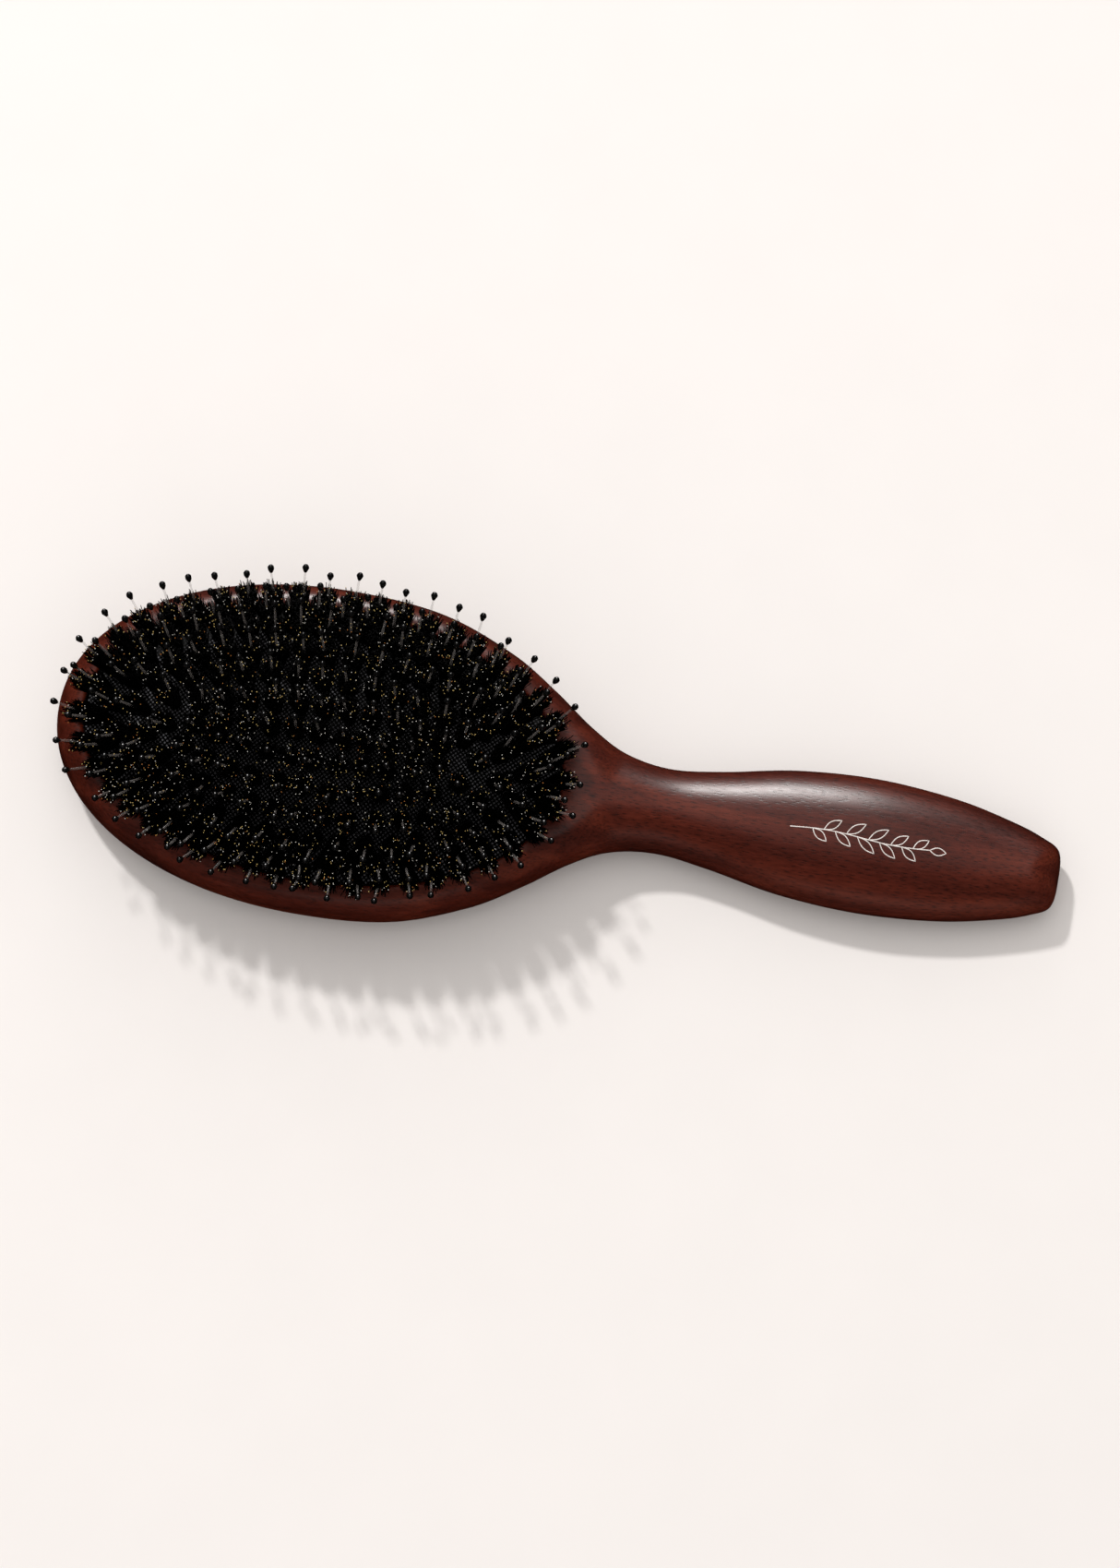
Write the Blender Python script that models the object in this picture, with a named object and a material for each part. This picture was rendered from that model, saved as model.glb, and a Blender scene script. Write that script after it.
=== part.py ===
"""Oval cushion hairbrush with a wooden body, lying on its back.

The body is one piece of turned and shaped wood. A hollow rubber cushion with a fabric face
snaps into a grooved pocket in its head. Tufts of bristle, each with a ball-tipped nylon pin
in its middle, pass through the cushion in ovals and sink with it when it is pressed.

Frame: +X towards the handle's end, +Z the way the bristles point, z = 0 the flat back.
All sizes are in metres.
"""
import math

import bmesh
import bpy
from mathutils import Vector

# Wooden body
HEAD_HALF_LENGTH = 0.0645
HEAD_HALF_WIDTH = 0.0394
HEAD_SQUARENESS = 2.08
SHOULDER_AND_HANDLE = (
    (0.0, HEAD_HALF_WIDTH), (0.022, 0.0376), (0.040, 0.0311), (0.052, 0.0238), (0.062, 0.0166),
    (0.071, 0.0120), (0.082, 0.0103), (0.095, 0.0119), (0.112, 0.0151), (0.131, 0.0163),
    (0.150, 0.0149), (0.164, 0.0120), (0.172, 0.0094), (0.1765, 0.0066), (0.1773, 0.0),
)
HEIGHT_STOPS = ((0.057, 0.0200), (0.088, 0.0172), (0.128, 0.0190), (0.177, 0.0150))
RIM_ROUND_STOPS = ((0.050, 0.0066), (0.088, 0.0200))
BACK_ROUND_STOPS = ((0.030, 0.0120), (0.088, 0.0060), (0.128, 0.0095))
WIDEST_SHARE = 0.42
SPINE_LEFT = -0.036
SPINE_RIGHT = 0.168
HEAD_STATIONS = 12
SPLINE_STEPS = 2
RIM_LEVELS = 4
BACK_LEVELS = 3

# Pocket in the head, and the lip that holds the cushion's bead
LIP_HALF_LENGTH = 0.0572
LIP_HALF_WIDTH = 0.0325
LIP_CHAMFER = 0.0007
POCKET_FLOOR_Z = 0.011
GROOVE_BOTTOM_Z = 0.0145
GROOVE_TOP_Z = 0.0172
GROOVE_DEPTH = 0.0020
LEDGE_WIDTH = 0.0010
GAP = 0.0003

# Cushion
EDGE_Z = 0.0182
CROWN_RISE = 0.0085
MEMBRANE = 0.0012
BEAD_INNER = 0.0015
DOME_INSETS = (0.0015, 0.0070, 0.0140, 0.0225, 0.0317)
CUSHION_SEGMENTS = 40
VENT_RADIUS = 0.0008

# Tufts: the ovals are evenly pitched on the flat pad and close up where it curves down
RING_INSETS = (0.0031, 0.0063, 0.0104, 0.0155, 0.0211, 0.0268)
TUFT_PITCH = 0.0059
EDGE_SPLAY = math.radians(28.0)
CENTRE_ROW_TUFTS = 9
CENTRE_ROW_HALF = 0.0225
PIN_HALF_WIDTH = 0.0004
PIN_LENGTH = 0.0188
BALL_HALF_WIDTH = 0.0007
BALL_LENGTH = 0.0020
CARRIER_THICKNESS = 0.0008
CARRIER_GAP = 0.0006
BRISTLE_LENGTH = 0.0104
BRISTLE_FOOT_GAP = 0.0006
BRISTLE_INNER = PIN_HALF_WIDTH + 0.00035
BRISTLE_FOOT_HALF = 0.0012
BRISTLE_TIP_HALF = 0.0016
BRISTLE_FLAT_HALF = 0.0008

UP = Vector((0.0, 0.0, 1.0))


def clear_scene():
    for old in list(bpy.data.objects):
        bpy.data.objects.remove(old, do_unlink=True)


def make_material(name, color, roughness):
    material = bpy.data.materials.new(name)
    material.use_nodes = True
    shader = material.node_tree.nodes["Principled BSDF"]
    shader.inputs["Base Color"].default_value = (*color, 1.0)
    shader.inputs["Roughness"].default_value = roughness
    shader.inputs["Metallic"].default_value = 0.0
    return material


def add_object(name, bm, material, parent=None):
    """Turn a bmesh in world coordinates into an object whose origin is its parent's."""
    if parent is not None:
        bmesh.ops.translate(bm, verts=bm.verts, vec=-parent.location)
    bmesh.ops.recalc_face_normals(bm, faces=bm.faces)
    mesh = bpy.data.meshes.new(name)
    bm.to_mesh(mesh)
    bm.free()
    mesh.shade_smooth()
    mesh.set_sharp_from_angle(angle=math.radians(35.0))
    obj = bpy.data.objects.new(name, mesh)
    bpy.context.collection.objects.link(obj)
    obj.parent = parent
    if material is not None:
        mesh.materials.append(material)
    return obj


def add_empty(name, height):
    empty = bpy.data.objects.new(name, None)
    empty.location = (0.0, 0.0, height)
    bpy.context.collection.objects.link(empty)
    return empty


def cut(obj, cutter):
    cutter.hide_render = True
    cutter.display_type = "WIRE"
    boolean = obj.modifiers.new("cut", "BOOLEAN")
    boolean.operation = "DIFFERENCE"
    boolean.solver = "EXACT"
    boolean.object = cutter


def eased(x, stops):
    """Value at x between stops of (x, value), with level tangents at each stop."""
    if x <= stops[0][0]:
        return stops[0][1]
    for (x0, v0), (x1, v1) in zip(stops, stops[1:]):
        if x <= x1:
            t = (x - x0) / (x1 - x0)
            return v0 + (v1 - v0) * t * t * (3.0 - 2.0 * t)
    return stops[-1][1]


def catmull_rom(p0, p1, p2, p3, t):
    return 0.5 * (
        2.0 * p1 + (p2 - p0) * t + (2.0 * p0 - 5.0 * p1 + 4.0 * p2 - p3) * t * t
        + (3.0 * p1 - p0 - 3.0 * p2 + p3) * t * t * t
    )


def half_outline():
    """Points of the body's outline on the +Y side, from the head's tip to the handle's end."""
    points = []
    for i in range(HEAD_STATIONS):
        angle = 0.5 * math.pi * i / HEAD_STATIONS
        x = -HEAD_HALF_LENGTH * math.cos(angle) ** (2.0 / HEAD_SQUARENESS)
        y = HEAD_HALF_WIDTH * math.sin(angle) ** (2.0 / HEAD_SQUARENESS)
        points.append(Vector((x, y)))
    knots = [Vector(knot) for knot in SHOULDER_AND_HANDLE]
    before_first = Vector((-knots[1].x, knots[1].y))
    after_last = Vector((knots[-2].x, -knots[-2].y))
    knots = [before_first] + knots + [after_last]
    for i in range(1, len(knots) - 2):
        for step in range(SPLINE_STEPS):
            t = step / SPLINE_STEPS
            points.append(catmull_rom(knots[i - 1], knots[i], knots[i + 1], knots[i + 2], t))
    points.append(knots[-2].copy())
    return points


def spine_feet(points):
    """Where each outline point's normal meets the long axis, kept in order and off the two tips."""
    feet = []
    reached = SPINE_LEFT
    for i, point in enumerate(points):
        ahead = points[min(i + 1, len(points) - 1)]
        behind = points[max(i - 1, 0)]
        tangent = ahead - behind
        if 0 < i < len(points) - 1:
            foot = point.x + point.y * tangent.y / tangent.x
        else:
            foot = point.x
        reached = min(max(foot, reached), SPINE_RIGHT)
        feet.append(Vector((reached, 0.0)))
    return feet


def body_ring(bm, points, feet, level, is_top):
    """One loop of the body's skin: level 0 is the widest line, level 1 the top or the back."""
    upper = []
    for point, foot in zip(points, feet):
        to_spine = foot - point
        reach = to_spine.length
        height = eased(point.x, HEIGHT_STOPS)
        widest_z = WIDEST_SHARE * height
        angle = 0.5 * math.pi * level
        if is_top:
            rounding = min(eased(point.x, RIM_ROUND_STOPS), reach)
            z = widest_z + (height - widest_z) * math.sin(angle)
        else:
            rounding = min(eased(point.x, BACK_ROUND_STOPS), reach)
            z = widest_z * (1.0 - math.sin(angle))
        inset = rounding * (1.0 - math.cos(angle))
        place = point + to_spine.normalized() * inset
        upper.append((place.x, place.y, z))
    lower = [(x, -y, z) for x, y, z in reversed(upper[1:-1])]
    return [bm.verts.new(co) for co in upper + lower]


def bridge(bm, ring_a, ring_b):
    count = len(ring_a)
    for i in range(count):
        j = (i + 1) % count
        bm.faces.new((ring_a[i], ring_a[j], ring_b[j], ring_b[i]))


def close_across(bm, ring):
    """Fill a loop that is mirrored over the long axis, with strips from side to side."""
    count = len(ring)
    half = count // 2
    for i in range(half):
        corners = [ring[i], ring[i + 1], ring[(count - i - 1) % count], ring[(count - i) % count]]
        bm.faces.new(dict.fromkeys(corners))


def make_wooden_body():
    bm = bmesh.new()
    points = half_outline()
    feet = spine_feet(points)
    rings = []
    for i in range(BACK_LEVELS, 0, -1):
        rings.append(body_ring(bm, points, feet, i / BACK_LEVELS, False))
    for i in range(RIM_LEVELS + 1):
        rings.append(body_ring(bm, points, feet, i / RIM_LEVELS, True))
    for ring_a, ring_b in zip(rings, rings[1:]):
        bridge(bm, ring_a, ring_b)
    close_across(bm, rings[0])
    close_across(bm, rings[-1])
    bmesh.ops.remove_doubles(bm, verts=bm.verts, dist=0.00002)
    wood = make_material("mahogany_stained_wood", (0.075, 0.016, 0.009), 0.35)
    body = add_object("wooden_body", bm, wood)
    cut(body, make_pocket_cutter())
    return body


def oval_ring(bm, inset, z, segments):
    """A loop of vertices on the oval that lies the given inset inside the pocket's lip."""
    ring = []
    for i in range(segments):
        angle = 2.0 * math.pi * i / segments
        x = (LIP_HALF_LENGTH - inset) * math.cos(angle)
        y = (LIP_HALF_WIDTH - inset) * math.sin(angle)
        ring.append(bm.verts.new((x, y, z)))
    return ring


def loft_ovals(profile, segments, closed):
    """Sweep a profile of (inset, z) points round the head's centre."""
    bm = bmesh.new()
    rings = [oval_ring(bm, inset, z, segments) for inset, z in profile]
    for ring_a, ring_b in zip(rings, rings[1:]):
        bridge(bm, ring_a, ring_b)
    if closed:
        bridge(bm, rings[-1], rings[0])
    else:
        bm.faces.new(rings[0])
        bm.faces.new(rings[-1])
    return bm


def make_pocket_cutter():
    top = eased(0.0, HEIGHT_STOPS)
    profile = (
        (-LIP_CHAMFER, top + 0.001),
        (-LIP_CHAMFER, top),
        (0.0, top - LIP_CHAMFER),
        (0.0, GROOVE_TOP_Z),
        (-GROOVE_DEPTH, GROOVE_TOP_Z),
        (-GROOVE_DEPTH, GROOVE_BOTTOM_Z),
        (LEDGE_WIDTH, GROOVE_BOTTOM_Z),
        (LEDGE_WIDTH, POCKET_FLOOR_Z),
    )
    return add_object("pocket_cutter", loft_ovals(profile, CUSHION_SEGMENTS, False), None)


def dome_z(inset):
    """Height of the cushion's face at an inset from the lip."""
    share = 1.0 - inset / LIP_HALF_WIDTH
    return EDGE_Z + CROWN_RISE * (1.0 - share * share)


def make_cushion(rings, row):
    bead_outer = GAP - GROOVE_DEPTH
    bead_top = GROOVE_TOP_Z - GAP
    bead_bottom = GROOVE_BOTTOM_Z + GAP
    face = [(inset, dome_z(inset)) for inset in DOME_INSETS]
    underside = [(inset, z - MEMBRANE) for inset, z in reversed(face[1:])]
    skirt = [
        (BEAD_INNER + GAP, bead_top),
        (BEAD_INNER, bead_bottom),
        (bead_outer, bead_bottom),
        (bead_outer, bead_top),
        (GAP, bead_top),
        (GAP, EDGE_Z),
    ]
    bm = loft_ovals(underside + skirt + face, CUSHION_SEGMENTS, False)
    rubber = make_material("fabric_faced_rubber", (0.012, 0.012, 0.013), 0.85)
    cushion = add_object("cushion", bm, rubber)
    cut(cushion, make_hole_cutter(rings, row))
    return cushion


def tuft_frame(x, y, normal, inset, splay):
    """Foot on the cushion's face, direction along the tuft, across it and round the ring."""
    foot = Vector((x, y, dome_z(inset)))
    along = (UP * math.cos(splay) + normal * math.sin(splay)).normalized()
    around = UP.cross(normal).normalized()
    across = around.cross(along).normalized()
    return foot, along, across, around


def oval_tufts(index):
    """Evenly spaced tufts on one oval; index 0 is the outermost."""
    inset = RING_INSETS[index]
    a = LIP_HALF_LENGTH - inset
    b = LIP_HALF_WIDTH - inset
    samples = 720
    lengths = [0.0]
    for i in range(samples):
        t0 = 2.0 * math.pi * i / samples
        t1 = 2.0 * math.pi * (i + 1) / samples
        step = math.hypot(a * (math.cos(t1) - math.cos(t0)), b * (math.sin(t1) - math.sin(t0)))
        lengths.append(lengths[-1] + step)
    count = round(lengths[-1] / TUFT_PITCH)
    splay = EDGE_SPLAY * (1.0 - inset / LIP_HALF_WIDTH) / (1.0 - RING_INSETS[0] / LIP_HALF_WIDTH)
    tufts = []
    sample = 0
    for i in range(count):
        wanted = lengths[-1] * (i + 0.5 * (index % 2)) / count
        while lengths[sample + 1] < wanted:
            sample += 1
        share = (wanted - lengths[sample]) / (lengths[sample + 1] - lengths[sample])
        t = 2.0 * math.pi * (sample + share) / samples
        normal = Vector((math.cos(t) / a, math.sin(t) / b, 0.0)).normalized()
        tufts.append(tuft_frame(a * math.cos(t), b * math.sin(t), normal, inset, splay))
    return tufts


def row_tufts():
    """The straight row of upright tufts on the cushion's crown."""
    tufts = []
    for i in range(CENTRE_ROW_TUFTS):
        x = CENTRE_ROW_HALF * (2.0 * i / (CENTRE_ROW_TUFTS - 1) - 1.0)
        tufts.append(tuft_frame(x, 0.0, Vector((0.0, -1.0, 0.0)), LIP_HALF_WIDTH, 0.0))
    return tufts


def square_loop(bm, centre, across, around, half):
    corners = ((-1, -1), (1, -1), (1, 1), (-1, 1))
    return [bm.verts.new(centre + (across * u + around * v) * half) for u, v in corners]


def make_hole_cutter(rings, row):
    """Square prisms that clear each pin by the gap, and a round vent beside the middle pin."""
    bm = bmesh.new()
    half = PIN_HALF_WIDTH + GAP
    for foot, along, across, around in [tuft for ring in rings for tuft in ring] + row:
        low = square_loop(bm, foot - along * 2.0 * MEMBRANE, across, around, half)
        high = square_loop(bm, foot + along * MEMBRANE, across, around, half)
        bridge(bm, low, high)
        bm.faces.new(low)
        bm.faces.new(high)
    vent = bmesh.ops.create_cone(
        bm, cap_ends=True, segments=8, radius1=VENT_RADIUS, radius2=VENT_RADIUS, depth=6.0 * MEMBRANE
    )
    beside_middle = CENTRE_ROW_HALF / (CENTRE_ROW_TUFTS - 1)
    bmesh.ops.translate(
        bm, verts=vent["verts"], vec=Vector((beside_middle, 0.0, EDGE_Z + CROWN_RISE))
    )
    return add_object("hole_cutter", bm, None)


def make_pins(name, tufts, closed, material, parent):
    """Ball-tipped pins that share one carrier strip under the cushion."""
    bm = bmesh.new()
    top_offset = -(MEMBRANE + CARRIER_GAP)
    links = []
    for foot, along, across, around in tufts:
        top = square_loop(bm, foot + along * top_offset, across, around, PIN_HALF_WIDTH)
        low_centre = foot + along * (top_offset - CARRIER_THICKNESS)
        low = square_loop(bm, low_centre, across, around, PIN_HALF_WIDTH)
        bm.faces.new((top[0], top[3], low[3], low[0]))
        bm.faces.new((top[1], top[2], low[2], low[1]))
        bm.faces.new(low)
        links.append(((top[0], top[1], low[1], low[0]), (top[3], top[2], low[2], low[3])))
        shaft_end = foot + along * (PIN_LENGTH - BALL_LENGTH)
        neck = square_loop(bm, shaft_end, across, around, PIN_HALF_WIDTH)
        belly = square_loop(bm, shaft_end + along * 0.6 * BALL_LENGTH, across, around, BALL_HALF_WIDTH)
        tip = square_loop(bm, foot + along * PIN_LENGTH, across, around, 0.5 * PIN_HALF_WIDTH)
        for loop_a, loop_b in ((top, neck), (neck, belly), (belly, tip)):
            bridge(bm, loop_a, loop_b)
        bm.faces.new(tip)
    for i in range(len(links) - (0 if closed else 1)):
        bridge(bm, links[i][1], links[(i + 1) % len(links)][0])
    if not closed:
        bm.faces.new(links[0][0])
        bm.faces.new(links[-1][1])
    return add_object(name, bm, material, parent)


def make_bristle_wall(name, tufts, side, material, parent):
    """A flared wall of bristle on one side of a ring's pins: side is 1 outside, -1 inside."""
    bm = bmesh.new()
    levels = (
        (BRISTLE_INNER, BRISTLE_FOOT_GAP),
        (BRISTLE_FOOT_HALF, BRISTLE_FOOT_GAP),
        (BRISTLE_TIP_HALF, BRISTLE_LENGTH),
        (BRISTLE_INNER, BRISTLE_LENGTH),
    )
    rings = []
    for offset, height in levels:
        places = []
        for foot, along, across, around in tufts:
            middle = foot + across * side * offset + along * height
            places += [middle - around * BRISTLE_FLAT_HALF, middle + around * BRISTLE_FLAT_HALF]
        rings.append([bm.verts.new(place) for place in places])
    for i in range(len(rings)):
        bridge(bm, rings[i], rings[(i + 1) % len(rings)])
    return add_object(name, bm, material, parent)


def row_outline(offset):
    """A racetrack round the centre row's pins, the given distance outside them."""
    points = []
    for end in (1.0, -1.0):
        for step in range(5):
            angle = math.pi * (step / 4.0 - 0.5)
            x = end * (CENTRE_ROW_HALF + offset * math.cos(angle))
            points.append((x, end * offset * math.sin(angle)))
    return points


def make_row_bristles(name, material, parent):
    bm = bmesh.new()
    crown = EDGE_Z + CROWN_RISE
    levels = (
        (BRISTLE_INNER + GAP, BRISTLE_FOOT_GAP),
        (BRISTLE_FOOT_HALF + GAP, BRISTLE_FOOT_GAP),
        (BRISTLE_TIP_HALF, BRISTLE_LENGTH),
        (BRISTLE_INNER + GAP, BRISTLE_LENGTH),
    )
    rings = []
    for offset, height in levels:
        rings.append([bm.verts.new((x, y, crown + height)) for x, y in row_outline(offset)])
    for i in range(len(rings)):
        bridge(bm, rings[i], rings[(i + 1) % len(rings)])
    return add_object(name, bm, material, parent)


def main():
    clear_scene()
    rings = [oval_tufts(index) for index in range(len(RING_INSETS))]
    row = row_tufts()
    make_wooden_body()
    make_cushion(rings, row)
    nylon = make_material("smoky_nylon", (0.06, 0.06, 0.065), 0.30)
    bristle = make_material("boar_bristle", (0.020, 0.014, 0.010), 0.55)
    for index, tufts in enumerate(rings, start=1):
        carrier = add_empty(f"ring_{index}_slide", tufts[0][0].z)
        make_pins(f"pin_ring_{index}", tufts, True, nylon, carrier)
        make_bristle_wall(f"bristle_ring_{index}_outer", tufts, 1.0, bristle, carrier)
        make_bristle_wall(f"bristle_ring_{index}_inner", tufts, -1.0, bristle, carrier)
    carrier = add_empty("centre_row_slide", row[0][0].z)
    make_pins("pin_row", row, False, nylon, carrier)
    make_row_bristles("bristle_row", bristle, carrier)


main()
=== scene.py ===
import math

import bmesh
import bpy
import numpy as np
from mathutils import Matrix, Vector


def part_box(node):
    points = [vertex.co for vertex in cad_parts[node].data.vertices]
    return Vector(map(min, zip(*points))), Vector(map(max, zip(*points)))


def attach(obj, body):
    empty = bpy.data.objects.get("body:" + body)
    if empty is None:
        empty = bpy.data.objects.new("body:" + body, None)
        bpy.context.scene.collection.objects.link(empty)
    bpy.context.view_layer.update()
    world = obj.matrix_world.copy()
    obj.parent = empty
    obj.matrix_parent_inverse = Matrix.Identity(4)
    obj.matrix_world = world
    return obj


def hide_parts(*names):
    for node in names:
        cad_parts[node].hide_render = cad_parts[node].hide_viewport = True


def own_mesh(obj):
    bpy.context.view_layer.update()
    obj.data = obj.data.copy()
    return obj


# An oval cushion hairbrush lying on its back: +X to the handle's end, +Z the way the bristles
# point, everything in metres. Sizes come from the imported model's boxes where they can.
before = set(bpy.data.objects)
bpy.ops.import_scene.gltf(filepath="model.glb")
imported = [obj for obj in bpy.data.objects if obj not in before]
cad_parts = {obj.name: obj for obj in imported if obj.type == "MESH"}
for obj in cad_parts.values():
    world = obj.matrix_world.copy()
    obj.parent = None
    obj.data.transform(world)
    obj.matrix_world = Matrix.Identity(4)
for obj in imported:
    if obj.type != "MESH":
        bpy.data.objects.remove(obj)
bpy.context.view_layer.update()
print("frame loaded:", len(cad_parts), "nodes")


def linearColor(hexText, alpha=1.0):
    channels = []
    for i in (1, 3, 5):
        value = int(hexText[i:i + 2], 16) / 255
        channels.append(value / 12.92 if value <= 0.04045 else ((value + 0.055) / 1.055) ** 2.4)
    return (*channels, alpha)


def addNode(tree, kind, inputs=None, stops=(), **settings):
    # inputs are sockets to link or values to set; stops are a colour ramp's (place, colour)
    node = tree.nodes.new(kind)
    for name, value in settings.items():
        setattr(node, name, value)
    for key, value in (inputs or {}).items():
        if isinstance(value, bpy.types.NodeSocket):
            tree.links.new(value, node.inputs[key])
        else:
            node.inputs[key].default_value = value
    for i, (place, hexText) in enumerate(stops):
        elements = node.color_ramp.elements
        element = elements[i] if i < 2 else elements.new(place)
        element.position = place
        element.color = linearColor(hexText)
    return node


def newMaterial(name):
    material = bpy.data.materials.new(name)
    material.use_nodes = True
    tree = material.node_tree
    return material, tree, tree.nodes["Principled BSDF"]


def addPiece(name, vertices, faces, materials, sharpAngle=40.0):
    mesh = bpy.data.meshes.new(name)
    mesh.from_pydata([tuple(v) for v in vertices], [], [tuple(f) for f in faces])
    bm = bmesh.new()
    bm.from_mesh(mesh)
    bmesh.ops.remove_doubles(bm, verts=bm.verts, dist=0.000002)
    bmesh.ops.recalc_face_normals(bm, faces=bm.faces)
    bm.to_mesh(mesh)
    bm.free()
    mesh.shade_smooth()
    mesh.set_sharp_from_angle(angle=math.radians(sharpAngle))
    for material in materials:
        mesh.materials.append(material)
    piece = bpy.data.objects.new(name, mesh)
    bpy.context.collection.objects.link(piece)
    return piece


def eased(x, stops):
    # value at x between stops of (x, value), level at each stop
    if x <= stops[0][0]:
        return stops[0][1]
    for (x0, v0), (x1, v1) in zip(stops, stops[1:]):
        if x <= x1:
            t = (x - x0) / (x1 - x0)
            return v0 + (v1 - v0) * t * t * (3 - 2 * t)
    return stops[-1][1]


bodyLow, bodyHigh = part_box("wooden_body")
_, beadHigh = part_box("cushion")
beadReach = 0.0017      # of the cushion's bead, past the lip into the groove
wood = {
    "headLength": -bodyLow.x,         # half of the head, from its middle to its tip
    "headWidth": bodyHigh.y,
    "height": bodyHigh.z,
    "end": bodyHigh.x,
    "headSquareness": 2.08,
    "outline": (
        (0.022, 0.0376), (0.040, 0.0311), (0.052, 0.0238), (0.062, 0.0166),
        (0.071, 0.0120), (0.082, 0.0103), (0.095, 0.0119), (0.112, 0.0151), (0.131, 0.0163),
        (0.150, 0.0149), (0.164, 0.0120), (0.172, 0.0094), (0.1765, 0.0066),
    ),
    "heights": ((0.057, bodyHigh.z), (0.088, 0.0172), (0.128, 0.0190), (0.177, 0.0150)),
    "rimRound": ((0.050, 0.0066), (0.088, 0.0200)),
    "backRound": ((0.030, 0.0120), (0.088, 0.0060), (0.128, 0.0095)),
    "widestShare": 0.42,
    "spine": (-0.036, 0.168),
    "headSteps": 44,
    "splineSteps": 9,
    "rimLevels": 14,
    "backLevels": 9,
}
lip = {
    "length": beadHigh.x - beadReach,
    "width": beadHigh.y - beadReach,
    "round": 0.0008,
    "roundSteps": 5,
    "grooveTop": 0.0172,
    "grooveBottom": 0.0145,
    "grooveDepth": 0.0020,
    "ledge": 0.0010,
    "floor": 0.0110,
}


def catmullRom(p0, p1, p2, p3, t):
    return 0.5 * (2 * p1 + (p2 - p0) * t + (2 * p0 - 5 * p1 + 4 * p2 - p3) * t * t
                  + (3 * p1 - p0 - 3 * p2 + p3) * t ** 3)


def halfOutline():
    points = []
    for i in range(wood["headSteps"]):
        angle = 0.5 * math.pi * i / wood["headSteps"]
        x = -wood["headLength"] * math.cos(angle) ** (2 / wood["headSquareness"])
        y = wood["headWidth"] * math.sin(angle) ** (2 / wood["headSquareness"])
        points.append(Vector((x, y)))
    knots = [Vector((0, wood["headWidth"]))] + [Vector(k) for k in wood["outline"]]
    knots.append(Vector((wood["end"], 0)))
    knots = [Vector((-knots[1].x, knots[1].y))] + knots + [Vector((knots[-2].x, -knots[-2].y))]
    for i in range(1, len(knots) - 2):
        for step in range(wood["splineSteps"]):
            points.append(catmullRom(*knots[i - 1:i + 3], step / wood["splineSteps"]))
    points.append(knots[-2].copy())
    return points


def spineFeet(points):
    # where the outline's normals meet the long axis, kept in order and off the two tips
    reached, last = wood["spine"]
    feet = []
    for i, point in enumerate(points):
        foot = point.x
        if 0 < i < len(points) - 1:
            tangent = points[i + 1] - points[i - 1]
            foot += point.y * tangent.y / tangent.x
        reached = min(max(foot, reached), last)
        feet.append(Vector((reached, 0)))
    return feet


def reachLip(point, foot, a, b):
    # share of the way from point to foot at which the oval (a, b) is met, or None
    d = foot - point
    qa = (d.x / a) ** 2 + (d.y / b) ** 2
    qb = 2 * (point.x * d.x / a ** 2 + point.y * d.y / b ** 2)
    qc = (point.x / a) ** 2 + (point.y / b) ** 2 - 1
    disc = qb * qb - 4 * qa * qc
    if abs(foot.x) >= a or disc < 0:
        return None
    return (-qb - math.sqrt(disc)) / (2 * qa)


def bodyColumn(point, foot, target):
    # points up one column of the skin, from the back's flat to the lip or the handle's ridge
    height = eased(foot.x, wood["heights"])
    widest = wood["widestShare"] * height
    toSpine = (foot - point).normalized()
    reach = (target - point).length
    rimRound = min(eased(foot.x, wood["rimRound"]), reach)
    backRound = min(eased(foot.x, wood["backRound"]), (foot - point).length)
    column = []
    for i in range(wood["backLevels"], 0, -1):
        angle = 0.5 * math.pi * i / wood["backLevels"]
        place = point + toSpine * backRound * (1 - math.cos(angle))
        column.append((place.x, place.y, widest * (1 - math.sin(angle))))
    for i in range(wood["rimLevels"] + 1):
        angle = 0.5 * math.pi * i / wood["rimLevels"]
        place = point + toSpine * rimRound * (1 - math.cos(angle))
        column.append((place.x, place.y, widest + (height - widest) * math.sin(angle)))
    column.append((target.x, target.y, height))
    return column


def pocketColumn(target, a, b):
    # over the lip, down past the groove to the pocket's floor and in to the long axis
    angle = math.atan2(target.y / b, target.x / a)
    profile = []
    for i in range(1, lip["roundSteps"] + 1):
        turn = 0.5 * math.pi * i / lip["roundSteps"]
        drop = lip["round"] * (1 - math.cos(turn))
        profile.append((lip["round"] * (math.sin(turn) - 1), wood["height"] - drop))
    profile += [
        (0, lip["grooveTop"]), (-lip["grooveDepth"], lip["grooveTop"]),
        (-lip["grooveDepth"], lip["grooveBottom"]), (lip["ledge"], lip["grooveBottom"]),
        (lip["ledge"], lip["floor"]),
    ]
    column = []
    for inset, z in profile:
        x = (lip["length"] - inset) * math.cos(angle)
        column.append((x, (lip["width"] - inset) * math.sin(angle), z))
    column.append((column[-1][0] * 0.9, 0, lip["floor"]))
    return column


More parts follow.
